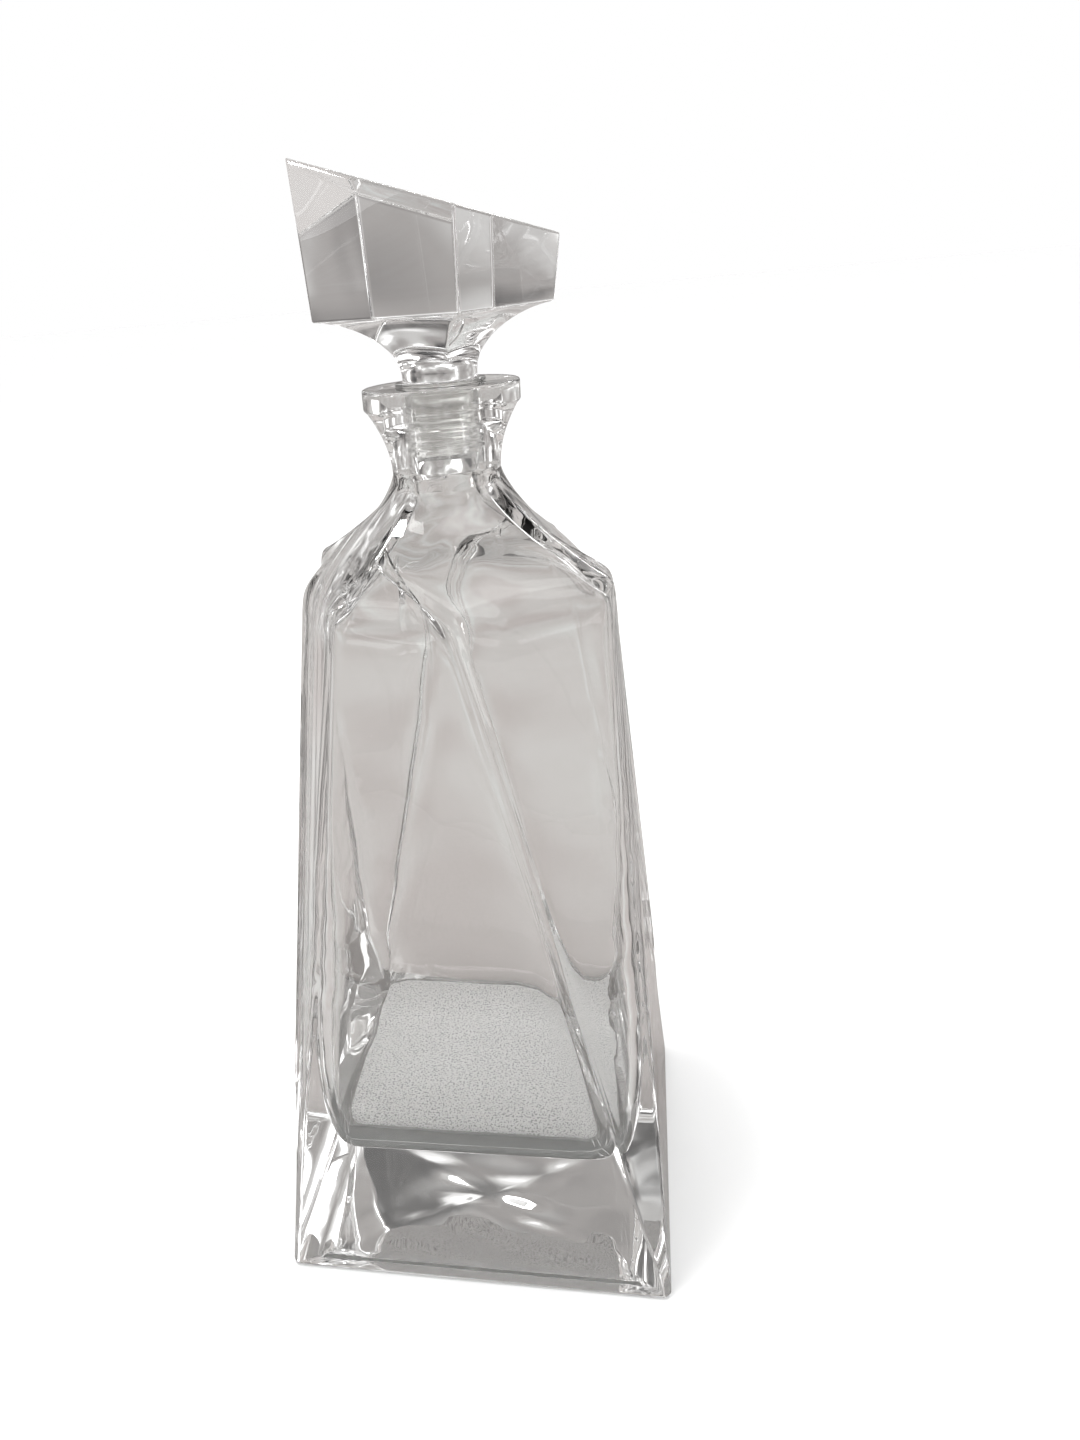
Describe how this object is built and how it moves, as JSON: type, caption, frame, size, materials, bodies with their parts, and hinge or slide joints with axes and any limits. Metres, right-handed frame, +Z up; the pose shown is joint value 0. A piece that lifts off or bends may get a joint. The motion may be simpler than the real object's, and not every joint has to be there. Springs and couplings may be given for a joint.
{
  "type": "wine decanter",
  "caption": "Square-based clear glass decanter with leaning folds, a flared collar, and a slant-cut solid glass stopper sealed in the neck by a ribbed plastic sleeve.",
  "frame": {"origin": "centre of the base, on the surface the bottle stands on", "axes": "+Z up along the neck; the base's sides lie along X and Y; -Y is the front, the stopper's cut is high on -X"},
  "size_m": [0.0948, 0.0948, 0.2635],
  "materials": {
    "bottle_glass": "clear pressed glass, fire polished, stippled on the floor of the cavity",
    "stopper_glass": "clear solid glass, ground and polished faces",
    "seal_plastic": "soft translucent moulded plastic"
  },
  "bodies": {
    "bottle": {"bottle": "bottle_glass"},
    "seal": {"seal": "seal_plastic"},
    "stopper": {"stopper": "stopper_glass"}
  },
  "joints": [
    {"name": "stopper_lift", "type": "slide", "parent": "bottle", "child": "seal", "axis": [0, 0, 1], "range_m": [0, 0.045]},
    {"name": "stopper_turn", "type": "hinge", "parent": "seal", "child": "stopper", "pos_m": [0, 0, 0.214], "axis": [0, 0, 1], "continuous": true}
  ]
}
